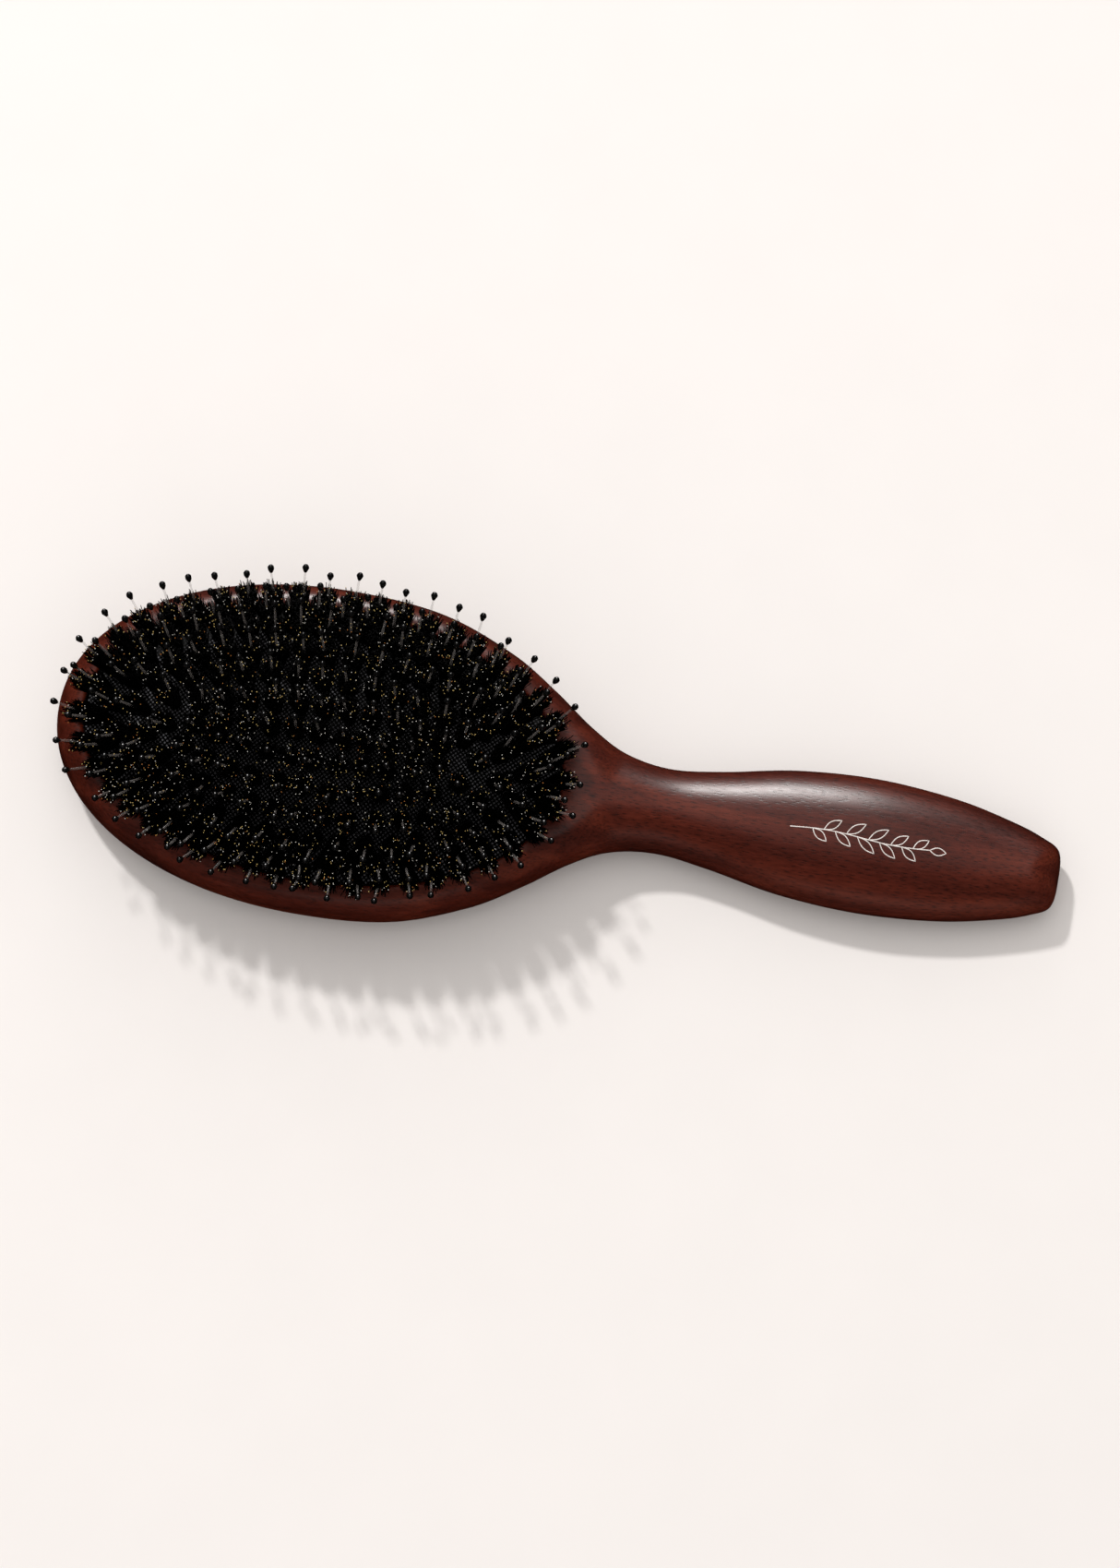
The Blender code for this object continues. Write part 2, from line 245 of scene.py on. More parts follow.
def makeWoodenBody(material):
    a = lip["length"] + lip["round"]
    b = lip["width"] + lip["round"]
    points = halfOutline()
    columns = []
    lipDone = False
    for point, foot in zip(points, spineFeet(points)):
        share = None if lipDone else reachLip(point, foot, a, b)
        if share is not None:
            target = point + (foot - point) * share
        elif not lipDone:
            target = Vector((a, 0))
        else:
            target = foot
        column = bodyColumn(point, foot, target)
        if not lipDone:
            column += pocketColumn(target, a, b)
            lipDone = share is None
        columns.append(column)
    vertices = []
    faces = []
    starts = []
    for side in (1, -1):
        starts.append([])
        for column in columns:
            starts[-1].append(len(vertices))
            vertices += [(x, side * y, z) for x, y, z in column]
        for i in range(len(columns) - 1):
            s0, s1 = starts[-1][i], starts[-1][i + 1]
            for j in range(min(len(columns[i]), len(columns[i + 1])) - 1):
                faces.append((s0 + j, s1 + j, s1 + j + 1, s0 + j + 1)[::side])
    upper, lower = starts
    for i in range(len(columns) - 1):
        faces.append((upper[i], lower[i], lower[i + 1], upper[i + 1]))
    return addPiece("woodenBody", vertices, faces, [material], 35.0)


def stainedMahogany():
    # mahogany, sanded, stained dark red-brown and finished with a satin lacquer: soft streaks along
    # the length, short dark pores 1 mm long, and a wide soft gloss that the pores break up
    material, tree, shader = newMaterial("stained mahogany, satin lacquer")
    coords = addNode(tree, "ShaderNodeTexCoord").outputs["Object"]
    streakPlace = addNode(tree, "ShaderNodeMapping", {"Vector": coords, "Scale": (11, 170, 170)})
    streaks = addNode(tree, "ShaderNodeTexNoise", {
        "Vector": streakPlace.outputs["Vector"], "Scale": 1.0, "Detail": 4, "Distortion": 0.5})
    fiberPlace = addNode(tree, "ShaderNodeMapping", {"Vector": coords, "Scale": (260, 2100, 2100)})
    fibers = addNode(tree, "ShaderNodeTexNoise", {
        "Vector": fiberPlace.outputs["Vector"], "Scale": 1.0, "Detail": 2})
    porePlace = addNode(tree, "ShaderNodeMapping", {"Vector": coords, "Scale": (420, 2100, 2100)})
    pores = addNode(tree, "ShaderNodeTexVoronoi", {
        "Vector": porePlace.outputs["Vector"], "Scale": 1.0}, feature="F1")
    poreMask = addNode(tree, "ShaderNodeMapRange", {
        "Value": pores.outputs["Distance"], "From Min": 0.14, "From Max": 0.42})
    stain = addNode(tree, "ShaderNodeValToRGB", {"Fac": streaks.outputs["Fac"]}, stops=(
        (0.32, "#401004"), (0.50, "#511808"), (0.70, "#63230f")))
    fiberShade = addNode(tree, "ShaderNodeMapRange", {
        "Value": fibers.outputs["Fac"], "From Min": 0.3, "From Max": 0.7, "To Min": 0.78, "To Max": 1.18})
    fibered = addNode(tree, "ShaderNodeMix", {
        "Factor": 1.0, 6: stain.outputs["Color"], 7: fiberShade.outputs["Result"]},
        data_type="RGBA", blend_type="MULTIPLY")
    poreShade = addNode(tree, "ShaderNodeMapRange", {
        "Value": poreMask.outputs["Result"], "To Min": 0.45, "To Max": 1.0})
    pored = addNode(tree, "ShaderNodeMix", {
        "Factor": 1.0, 6: fibered.outputs[2], 7: poreShade.outputs["Result"]},
        data_type="RGBA", blend_type="MULTIPLY")
    tree.links.new(pored.outputs[2], shader.inputs["Base Color"])
    roughness = addNode(tree, "ShaderNodeMapRange", {
        "Value": fibers.outputs["Fac"], "To Min": 0.29, "To Max": 0.41})
    tree.links.new(roughness.outputs["Result"], shader.inputs["Roughness"])
    bump = addNode(tree, "ShaderNodeBump", {
        "Height": poreMask.outputs["Result"], "Strength": 0.3, "Distance": 0.00004})
    tree.links.new(bump.outputs["Normal"], shader.inputs["Normal"])
    shader.inputs["IOR"].default_value = 1.5
    shader.inputs["Specular IOR Level"].default_value = 0.4
    return material


woodenBody = makeWoodenBody(stainedMahogany())
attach(woodenBody, "brush_body")
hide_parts("wooden_body")
print("wooden body made")


sprig = {
    "start": 0.112,
    "end": 0.151,
    "wave": 0.0005,
    "leaves": 10,
    "leafLength": 0.0056,
    "leafHalfWidth": 0.0009,
    "leafTurn": math.radians(36),   # away from the stem
    "lineRadius": 0.00013,
    "steps": 12,
}


def sprigLines():
    # the stem, then leaves on its two sides in turn, the last one at its end, as (x, y) points
    length = sprig["end"] - sprig["leafLength"] - sprig["start"]
    shares = np.linspace(0, 1, 3 * sprig["steps"] + 1)
    stem = [(sprig["start"] + length * t, sprig["wave"] * math.sin(2 * math.pi * t)) for t in shares]
    lines = [stem]
    for i in range(sprig["leaves"] + 1):
        atEnd = i == sprig["leaves"]
        t = 1 if atEnd else 0.16 + 0.80 * i / sprig["leaves"]
        turn = 0 if atEnd else sprig["leafTurn"] * (1 if i % 2 else -1)
        foot = (sprig["start"] + length * t, sprig["wave"] * math.sin(2 * math.pi * t))
        size = sprig["leafLength"] * (1 - 0.3 * abs(2 * t - 1))
        leaf = []
        for step in range(2 * sprig["steps"]):
            u = step / sprig["steps"]
            reach = size * (u if u < 1 else 2 - u)
            across = sprig["leafHalfWidth"] * math.sin(math.pi * u)
            leaf.append((foot[0] + reach * math.cos(turn) - across * math.sin(turn),
                         foot[1] + reach * math.sin(turn) + across * math.cos(turn)))
        lines.append(leaf)
    return lines


def makeSprig(material):
    # thin raised lines that follow the handle's top
    bpy.context.view_layer.update()
    curve = bpy.data.curves.new("sprig lines", "CURVE")
    curve.dimensions = "3D"
    curve.bevel_depth = sprig["lineRadius"]
    curve.bevel_resolution = 1
    curve.use_fill_caps = True
    for i, line in enumerate(sprigLines()):
        spline = curve.splines.new("POLY")
        spline.points.add(len(line) - 1)
        spline.use_cyclic_u = i > 0
        for point, (x, y) in zip(spline.points, line):
            _, place, _, _ = woodenBody.ray_cast((x, y, 2 * wood["height"]), (0, 0, -1))
            point.co = (*place, 1)
    holder = bpy.data.objects.new("sprig lines", curve)
    bpy.context.collection.objects.link(holder)
    bpy.context.view_layer.update()
    graph = bpy.context.evaluated_depsgraph_get()
    mesh = bpy.data.meshes.new_from_object(holder.evaluated_get(graph))
    bpy.data.objects.remove(holder, do_unlink=True)
    mesh.materials.append(material)
    piece = bpy.data.objects.new("leafSprig", mesh)
    bpy.context.collection.objects.link(piece)
    return piece


def whiteInk():
    # pad-printed white ink on lacquer: matt, thick enough to stand up, faintly uneven
    material, tree, shader = newMaterial("white printing ink")
    coords = addNode(tree, "ShaderNodeTexCoord").outputs["Object"]
    noise = addNode(tree, "ShaderNodeTexNoise", {"Vector": coords, "Scale": 1500, "Detail": 1})
    color = addNode(tree, "ShaderNodeValToRGB", {"Fac": noise.outputs["Fac"]}, stops=(
        (0.3, "#dcd5cf"), (0.7, "#f4efea")))
    tree.links.new(color.outputs["Color"], shader.inputs["Base Color"])
    shader.inputs["Roughness"].default_value = 0.55
    return material


leafSprig = makeSprig(whiteInk())
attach(leafSprig, "brush_body")
print("sprig printed on the handle")


cushion = {
    "edgeHeight": 0.0182,
    "rise": beadHigh.z - 0.0182,
    "thickness": 0.0012,
    "gap": 0.0003,
    "beadInner": 0.0015,
    "crownInset": 0.0004,   # the last ring's distance from the long axis
    "ringSteps": 66,
    "segments": 264,
    "dimpleDepth": 0.00035,
    "dimpleRadius": 0.0017,
    "ventPlace": (0.0028, 0.0),
    "ventRadius": 0.0008,
    "ventDepth": 0.01,
    "ventSides": 24,
    "clothPitch": 0.0008,
}
tufts = {
    "insets": (0.0031, 0.0063, 0.0104, 0.0155, 0.0211, 0.0268),   # of the ovals, from the lip
    "pitch": 0.0059,
    "edgeSplay": math.radians(28),
    "rowTufts": 9,
    "rowHalf": 0.0225,
    "samples": 720,
    "unevenness": 0.045,    # how far a tuft or a pin leans its own way, as a slope
    "seed": 4,
}


def domeHeight(inset):
    share = 1 - inset / lip["width"]
    return cushion["edgeHeight"] + cushion["rise"] * (1 - share * share)


def ovalTufts(index):
    # feet and directions of the tufts on one oval, evenly spaced; index 0 is the outermost
    inset = tufts["insets"][index]
    a = lip["length"] - inset
    b = lip["width"] - inset
    angles = np.linspace(0, 2 * math.pi, tufts["samples"] + 1)
    steps = np.hypot(np.diff(a * np.cos(angles)), np.diff(b * np.sin(angles)))
    lengths = np.concatenate([[0], np.cumsum(steps)])
    count = round(lengths[-1] / tufts["pitch"])
    wanted = lengths[-1] * (np.arange(count) + 0.5 * (index % 2)) / count
    places = np.interp(wanted, lengths, angles)
    edge = 1 - tufts["insets"][0] / lip["width"]
    splay = tufts["edgeSplay"] * (1 - inset / lip["width"]) / edge
    feet = []
    for t in places:
        normal = Vector((math.cos(t) / a, math.sin(t) / b, 0)).normalized()
        along = Vector((0, 0, math.cos(splay))) + normal * math.sin(splay)
        feet.append((Vector((a * math.cos(t), b * math.sin(t), domeHeight(inset))), along))
    return feet


def rowTufts():
    feet = []
    for x in np.linspace(-tufts["rowHalf"], tufts["rowHalf"], tufts["rowTufts"]):
        feet.append((Vector((x, 0, domeHeight(lip["width"]))), Vector((0, 0, 1))))
    return feet


tuftGroups = {"centre_tufts": rowTufts()}
for ringIndex in range(len(tufts["insets"])):
    tuftGroups[f"ring_{ringIndex + 1}_tufts"] = ovalTufts(ringIndex)
allFeet = [foot for group in tuftGroups.values() for foot, _ in group]
chance = np.random.default_rng(tufts["seed"])


def uneven(feet, amount):
    # the same feet, each leaning a little its own way
    leaned = []
    for foot, along in feet:
        stray = Vector(chance.normal(0, amount, 3))
        leaned.append((foot, (along + stray).normalized()))
    return leaned


print("tufts placed:", len(allFeet))


def makeCushion(fabric, rubber):
    n = cushion["segments"]
    angles = np.linspace(0, 2 * math.pi, n, endpoint=False)
    faceInsets = np.linspace(cushion["gap"], lip["width"] - cushion["crownInset"],
                             cushion["ringSteps"])
    beadOuter = cushion["gap"] - lip["grooveDepth"]
    beadTop = lip["grooveTop"] - cushion["gap"]
    beadBottom = lip["grooveBottom"] + cushion["gap"]
    profile = [(inset, domeHeight(inset) - cushion["thickness"])
               for inset in faceInsets[::-6] if inset > 3 * cushion["beadInner"]]
    profile += [
        (cushion["beadInner"] + cushion["gap"], beadTop), (cushion["beadInner"], beadBottom),
        (beadOuter, beadBottom), (beadOuter, beadTop), (cushion["gap"], beadTop),
    ]
    rubberRings = len(profile)
    profile += [(inset, domeHeight(inset)) for inset in faceInsets]
    feet = np.array([(f.x, f.y) for f in allFeet])
    vertices = []
    for index, (inset, z) in enumerate(profile):
        x = (lip["length"] - inset) * np.cos(angles)
        y = (lip["width"] - inset) * np.sin(angles)
        heights = np.full(n, z)
        if index > rubberRings:
            distance = np.hypot(x[:, None] - feet[:, 0], y[:, None] - feet[:, 1])
            dimples = np.exp(-(distance / cushion["dimpleRadius"]) ** 2).max(axis=1)
            heights -= cushion["dimpleDepth"] * dimples
        vertices += list(zip(x, y, heights))
    faces = []
    for ring in range(len(profile) - 1):
        for i in range(n):
            j = (i + 1) % n
            faces.append((ring * n + i, ring * n + j, (ring + 1) * n + j, (ring + 1) * n + i))
    faces.append(tuple(range(n))[::-1])
    faces.append(tuple((len(profile) - 1) * n + i for i in range(n)))
    piece = addPiece("rubberCushion", vertices, faces, [fabric, rubber], 50.0)
    cutVent(piece)
    for polygon in piece.data.polygons:
        polygon.material_index = 0 if polygon.center.z > beadTop and polygon.normal.z > 0 else 1
    return piece


def cutVent(piece):
    # the small hole beside the middle pin that lets the air out when the cushion is pressed
    x, y = cushion["ventPlace"]
    bm = bmesh.new()
    bmesh.ops.create_cone(
        bm, cap_ends=True, segments=cushion["ventSides"], radius1=cushion["ventRadius"],
        radius2=cushion["ventRadius"], depth=cushion["ventDepth"],
        matrix=Matrix.Translation((x, y, domeHeight(lip["width"]))))
    mesh = bpy.data.meshes.new("vent cutter")
    bm.to_mesh(mesh)
    bm.free()
    cutter = bpy.data.objects.new("vent cutter", mesh)
    bpy.context.collection.objects.link(cutter)
    modifier = piece.modifiers.new("vent", "BOOLEAN")
    modifier.operation = "DIFFERENCE"
    modifier.solver = "EXACT"
    modifier.object = cutter
    bpy.context.view_layer.update()
    graph = bpy.context.evaluated_depsgraph_get()
    piece.data = bpy.data.meshes.new_from_object(piece.evaluated_get(graph))
    piece.modifiers.clear()
    bpy.data.objects.remove(cutter, do_unlink=True)


def dottedFabric():
    # fine black woven cloth bonded to the rubber, with a pale knot at each crossing of its net
    material, tree, shader = newMaterial("black net cloth")
    coords = addNode(tree, "ShaderNodeTexCoord").outputs["Object"]
    grid = addNode(tree, "ShaderNodeMapping", {
        "Vector": coords, "Rotation": (0, 0, math.radians(45)),
        "Scale": (1 / cushion["clothPitch"], 1 / cushion["clothPitch"], 0)})
    knots = addNode(tree, "ShaderNodeTexVoronoi", {
        "Vector": grid.outputs["Vector"], "Scale": 1.0, "Randomness": 0.12}, feature="F1")
    mask = addNode(tree, "ShaderNodeMapRange", {
        "Value": knots.outputs["Distance"], "From Min": 0.36, "From Max": 0.22,
        "To Min": 0.0, "To Max": 1.0})
    color = addNode(tree, "ShaderNodeMix", {
        "Factor": mask.outputs["Result"], 6: linearColor("#030303"),
        7: linearColor("#6a6a6e")}, data_type="RGBA")
    tree.links.new(color.outputs[2], shader.inputs["Base Color"])
    bump = addNode(tree, "ShaderNodeBump", {
        "Height": mask.outputs["Result"], "Strength": 0.6, "Distance": 0.00012})
    tree.links.new(bump.outputs["Normal"], shader.inputs["Normal"])
    shader.inputs["Roughness"].default_value = 0.7
    shader.inputs["Specular IOR Level"].default_value = 0.1
    return material


def mouldedRubber():
    # natural rubber, moulded and filled black: dull, with a faint powdery mottling
    material, tree, shader = newMaterial("black moulded rubber")
    coords = addNode(tree, "ShaderNodeTexCoord").outputs["Object"]
    noise = addNode(tree, "ShaderNodeTexNoise", {"Vector": coords, "Scale": 900, "Detail": 2})
    color = addNode(tree, "ShaderNodeValToRGB", {"Fac": noise.outputs["Fac"]}, stops=(
        (0.35, "#121212"), (0.70, "#1d1d1e")))
    tree.links.new(color.outputs["Color"], shader.inputs["Base Color"])
    shader.inputs["Roughness"].default_value = 0.75
    return material


rubberCushion = makeCushion(dottedFabric(), mouldedRubber())
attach(rubberCushion, "brush_body")
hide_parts("cushion")
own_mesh(rubberCushion)
print("cushion made")


bristles = {
    "perTuft": 205,
    "footRadius": 0.0013,
    "spread": 0.112,        # how far a bristle at the tuft's rim leans out, as a slope
    "outerSpread": 0.060,   # the same in the outermost oval, whose tufts stand free
    "jitter": 0.04,
    "bend": 0.0005,
    "length": 0.0102,
    "lengthVariation": 0.0009,
    "thickness": 0.00012,   # radius
    "leanShare": 0.6,       # a tuft leans its own way by this share of what a pin does
    "seed": 7,
}


def feetObject(name, feet):
    mesh = bpy.data.meshes.new(name)
    mesh.from_pydata([foot for foot, _ in feet], [], [])
    direction = mesh.attributes.new("along", "FLOAT_VECTOR", "POINT")
    direction.data.foreach_set("vector", [c for _, along in feet for c in along])
    holder = bpy.data.objects.new(name, mesh)
    bpy.context.collection.objects.link(holder)
    return holder


def newTree(name, sockets):
    tree = bpy.data.node_groups.new(name, "GeometryNodeTree")
    tree.interface.new_socket("Geometry", in_out="INPUT", socket_type="NodeSocketGeometry")
    for socketName, kind in sockets:
        tree.interface.new_socket(socketName, in_out="INPUT", socket_type="NodeSocket" + kind)
    tree.interface.new_socket("Geometry", in_out="OUTPUT", socket_type="NodeSocketGeometry")
    return tree, addNode(tree, "NodeGroupInput").outputs


def finishTree(tree, geometry, material):
    realized = addNode(tree, "GeometryNodeRealizeInstances", {"Geometry": geometry})
    painted = addNode(tree, "GeometryNodeSetMaterial", {
        "Geometry": realized.outputs["Geometry"], "Material": material})
    addNode(tree, "NodeGroupOutput", {"Geometry": painted.outputs["Geometry"]})
    return tree


def growPiece(name, holder, tree, values):
    # run the node tree on its holder and keep the result as a plain mesh
    modifier = holder.modifiers.new("grow", "NODES")
    modifier.node_group = tree
    for item in tree.interface.items_tree:
        if item.in_out == "INPUT" and item.name in values:
            modifier[item.identifier] = values[item.name]
    bpy.context.view_layer.update()
    graph = bpy.context.evaluated_depsgraph_get()
    mesh = bpy.data.meshes.new_from_object(holder.evaluated_get(graph))
    mesh.name = name
    bpy.data.objects.remove(holder, do_unlink=True)
    piece = bpy.data.objects.new(name, mesh)
    bpy.context.collection.objects.link(piece)
    return piece


def bristleTree():
    tree, given = newTree("bristle tufts", (
        ("Bristles per Tuft", "Int"), ("Foot Radius", "Float"), ("Spread", "Float"),
        ("Jitter", "Float"), ("Bend", "Float"), ("Length", "Float"),
        ("Length Variation", "Float"), ("Thickness", "Float"), ("Seed", "Int"),
        ("Material", "Material")))
    along = addNode(tree, "GeometryNodeInputNamedAttribute", {"Name": "along"},
                    data_type="FLOAT_VECTOR").outputs["Attribute"]
    points = addNode(tree, "GeometryNodeMeshToPoints", {"Mesh": given["Geometry"]})
    copies = addNode(tree, "GeometryNodeDuplicateElements", {
        "Geometry": points.outputs["Points"], "Amount": given["Bristles per Tuft"]}, domain="POINT")
    draws = []              # three random vectors for each bristle, each part from -1 to 1
    for number in range(3):
        seed = addNode(tree, "ShaderNodeMath", {0: given["Seed"], 1: float(number)}, operation="ADD")
        draw = addNode(tree, "FunctionNodeRandomValue", {
            0: (-1, -1, -1), 1: (1, 1, 1), "Seed": seed.outputs[0]}, data_type="FLOAT_VECTOR")
        draws.append(draw.outputs[0])
    # a place in the foot's round hole
    first = addNode(tree, "ShaderNodeSeparateXYZ", {"Vector": draws[0]}).outputs
    angle = addNode(tree, "ShaderNodeMath", {0: first["X"], 1: math.pi}, operation="MULTIPLY")
    cosine = addNode(tree, "ShaderNodeMath", {0: angle.outputs[0]}, operation="COSINE")
    sine = addNode(tree, "ShaderNodeMath", {0: angle.outputs[0]}, operation="SINE")
    share = addNode(tree, "ShaderNodeMath", {0: first["Y"]}, operation="ABSOLUTE")
    radius = addNode(tree, "ShaderNodeMath", {0: share.outputs[0]}, operation="SQRT")
    circle = addNode(tree, "ShaderNodeCombineXYZ", {"X": cosine.outputs[0], "Y": sine.outputs[0]})
    disc = addNode(tree, "ShaderNodeVectorMath", {
        0: circle.outputs[0], "Scale": radius.outputs[0]}, operation="SCALE")
    facing = addNode(tree, "FunctionNodeAlignRotationToVector", {"Vector": along}, axis="Z")
    outward = addNode(tree, "FunctionNodeRotateVector", {
        "Vector": disc.outputs[0], "Rotation": facing.outputs["Rotation"]}).outputs["Vector"]
    shift = addNode(tree, "ShaderNodeVectorMath", {
        0: outward, "Scale": given["Foot Radius"]}, operation="SCALE")
    moved = addNode(tree, "GeometryNodeSetPosition", {
        "Geometry": copies.outputs["Geometry"], "Offset": shift.outputs[0]})
    # its heading: outwards from the tuft's middle, with some disorder
    spread = addNode(tree, "ShaderNodeVectorMath", {
        0: outward, "Scale": given["Spread"]}, operation="SCALE")
    disorder = addNode(tree, "ShaderNodeVectorMath", {
        0: draws[1], "Scale": given["Jitter"]}, operation="SCALE")
    lean = addNode(tree, "ShaderNodeVectorMath", {
        0: spread.outputs[0], 1: disorder.outputs[0]}, operation="ADD")
    heading = addNode(tree, "ShaderNodeVectorMath", {0: along, 1: lean.outputs[0]}, operation="ADD")
    straight = addNode(tree, "ShaderNodeVectorMath", {0: heading.outputs[0]}, operation="NORMALIZE")
    # its curl near the tip, its length and its tone
    curlSum = addNode(tree, "ShaderNodeVectorMath", {0: draws[2], 1: outward}, operation="ADD")
    curl = addNode(tree, "ShaderNodeVectorMath", {
        0: curlSum.outputs[0], "Scale": given["Bend"]}, operation="SCALE")
    length = addNode(tree, "ShaderNodeMath", {
        0: first["Z"], 1: given["Length Variation"], 2: given["Length"]}, operation="MULTIPLY_ADD")
    third = addNode(tree, "ShaderNodeSeparateXYZ", {"Vector": draws[2]}).outputs
    tone = addNode(tree, "ShaderNodeMapRange", {"Value": third["Z"], "From Min": -1.0})
    curled = addNode(tree, "GeometryNodeStoreNamedAttribute", {
        "Geometry": moved.outputs["Geometry"], "Name": "curl", "Value": curl.outputs[0]},
        data_type="FLOAT_VECTOR", domain="POINT")
    toned = addNode(tree, "GeometryNodeStoreNamedAttribute", {
        "Geometry": curled.outputs["Geometry"], "Name": "tone", "Value": tone.outputs["Result"]},
        data_type="FLOAT", domain="POINT")
    # one straight stem for each, then bent, tapered and given its thickness
    line = addNode(tree, "GeometryNodeCurvePrimitiveLine", {"End": (0, 0, 1)})
    stem = addNode(tree, "GeometryNodeResampleCurve", {"Curve": line.outputs["Curve"], "Count": 4})
    turn = addNode(tree, "FunctionNodeAlignRotationToVector", {"Vector": straight.outputs[0]}, axis="Z")
    size = addNode(tree, "ShaderNodeCombineXYZ", {"X": 1.0, "Y": 1.0, "Z": length.outputs[0]})
    stems = addNode(tree, "GeometryNodeInstanceOnPoints", {
        "Points": toned.outputs["Geometry"], "Instance": stem.outputs["Curve"],
        "Rotation": turn.outputs["Rotation"], "Scale": size.outputs["Vector"]})
    curves = addNode(tree, "GeometryNodeRealizeInstances", {"Geometry": stems.outputs["Instances"]})
    factor = addNode(tree, "GeometryNodeSplineParameter").outputs["Factor"]
    squared = addNode(tree, "ShaderNodeMath", {0: factor, 1: 2.0}, operation="POWER")
    curlRead = addNode(tree, "GeometryNodeInputNamedAttribute", {"Name": "curl"},
                       data_type="FLOAT_VECTOR")
    curlHere = addNode(tree, "ShaderNodeVectorMath", {
        0: curlRead.outputs["Attribute"], "Scale": squared.outputs[0]}, operation="SCALE")
    bent = addNode(tree, "GeometryNodeSetPosition", {
        "Geometry": curves.outputs["Geometry"], "Offset": curlHere.outputs[0]})
    marked = addNode(tree, "GeometryNodeStoreNamedAttribute", {
        "Geometry": bent.outputs["Geometry"], "Name": "tip", "Value": factor},
        data_type="FLOAT", domain="POINT")
    taper = addNode(tree, "ShaderNodeMath", {0: factor, 1: -0.15, 2: 1.0}, operation="MULTIPLY_ADD")
    tapered = addNode(tree, "GeometryNodeSetCurveRadius", {
        "Curve": marked.outputs["Geometry"], "Radius": taper.outputs[0]})
    ring = addNode(tree, "GeometryNodeCurvePrimitiveCircle", {
        "Resolution": 3, "Radius": given["Thickness"]})
    solid = addNode(tree, "GeometryNodeCurveToMesh", {
        "Curve": tapered.outputs["Curve"], "Profile Curve": ring.outputs["Curve"], "Fill Caps": True})
    return finishTree(tree, solid.outputs["Mesh"], given["Material"])


def boarBristle():
    # dyed boar bristle: near black with hardly any gloss, and about one split tip in
    # thirteen undyed: gold, grey-white or orange
    material, tree, shader = newMaterial("black boar bristle")
    tip = addNode(tree, "ShaderNodeAttribute", attribute_name="tip").outputs["Fac"]
    tone = addNode(tree, "ShaderNodeAttribute", attribute_name="tone").outputs["Fac"]
    pale = addNode(tree, "ShaderNodeValToRGB", {"Fac": tone}, stops=(
        (0.0, "#030303"), (0.925, "#e6c97e"), (0.960, "#f0ede4"), (0.990, "#d08848")))
    pale.color_ramp.interpolation = "CONSTANT"
    atTip = addNode(tree, "ShaderNodeMapRange", {
        "Value": tip, "From Min": 0.975, "From Max": 0.985})
    color = addNode(tree, "ShaderNodeMix", {
        "Factor": atTip.outputs["Result"], 6: linearColor("#030303"), 7: pale.outputs["Color"]},
        data_type="RGBA")
    tree.links.new(color.outputs[2], shader.inputs["Base Color"])
    shader.inputs["Roughness"].default_value = 0.5
    shader.inputs["Specular IOR Level"].default_value = 0.04
    return material


tuftTree = bristleTree()
bristleMaterial = boarBristle()
tuftPieces = {}
for group, feet in tuftGroups.items():
    label = group.replace("_tufts", "").replace("_", "")
    holder = feetObject("feet", uneven(feet, bristles["leanShare"] * tufts["unevenness"]))
    piece = growPiece("bristles_" + label, holder, tuftTree, {
        "Bristles per Tuft": bristles["perTuft"], "Foot Radius": bristles["footRadius"],
        "Spread": bristles["outerSpread" if group == "ring_1_tufts" else "spread"],
        "Jitter": bristles["jitter"], "Bend": bristles["bend"],
        "Length": bristles["length"], "Length Variation": bristles["lengthVariation"],
        "Thickness": bristles["thickness"], "Seed": bristles["seed"] + len(feet),
        "Material": bristleMaterial})
    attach(piece, group)
    if group == "centre_tufts":
        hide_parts("bristle_row")
    else:
        number = group.split("_")[1]
        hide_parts(f"bristle_ring_{number}_outer", f"bristle_ring_{number}_inner")
    print(piece.name, len(piece.data.polygons), "faces")


pin = {
    "length": 0.0188,
    "footRadius": 0.0004,
    "neckRadius": 0.00026,
    "headRadius": 0.00085,
    "headDepth": 0.0019,
    "headThickness": 0.0006,
    "headSlope": 0.0002,
    "footHeight": 0.0020,
    "neckShare": 0.8,       # of the ball's length, the part that isn't round the shaft's end
    "ballRadius": 0.0008,
    "ballLength": 0.0023,
    "sides": 8,
}


def turnedMesh(name, profile):
    # turn a profile of (radius, height) about the pin's own axis
    bm = bmesh.new()
    rings = []
    for radius, z in profile:
        rings.append([])
        for i in range(pin["sides"]):
            angle = 2 * math.pi * i / pin["sides"]
            rings[-1].append(bm.verts.new((radius * math.cos(angle), radius * math.sin(angle), z)))
    for low, high in zip(rings, rings[1:]):
        for i in range(pin["sides"]):
            j = (i + 1) % pin["sides"]
            bm.faces.new((low[i], low[j], high[j], high[i]))
    bm.faces.new(rings[0][::-1])
    bm.faces.new(rings[-1])
    mesh = bpy.data.meshes.new(name)
    bm.to_mesh(mesh)
    bm.free()
    mesh.shade_smooth()
    template = bpy.data.objects.new(name, mesh)
    bpy.context.collection.objects.link(template)
    return template


def pinShaft():
    under = -pin["headDepth"]
    return turnedMesh("shaft template", (
        (pin["headRadius"], under - pin["headThickness"]), (pin["headRadius"], under),
        (pin["footRadius"], under + pin["headSlope"]), (pin["footRadius"], pin["footHeight"]),
        (pin["neckRadius"], pin["length"] - pin["neckShare"] * pin["ballLength"])))


def ballTip():
    # a drop: narrow where it meets the shaft, round on top
    low = pin["length"] - pin["ballLength"]
    profile = []
    for share, width in ((0.0, 0.50), (0.22, 0.72), (0.48, 0.97), (0.68, 1.0), (0.87, 0.74), (1.0, 0.22)):
        profile.append((pin["ballRadius"] * width, low + pin["ballLength"] * share))
    return turnedMesh("ball template", profile)


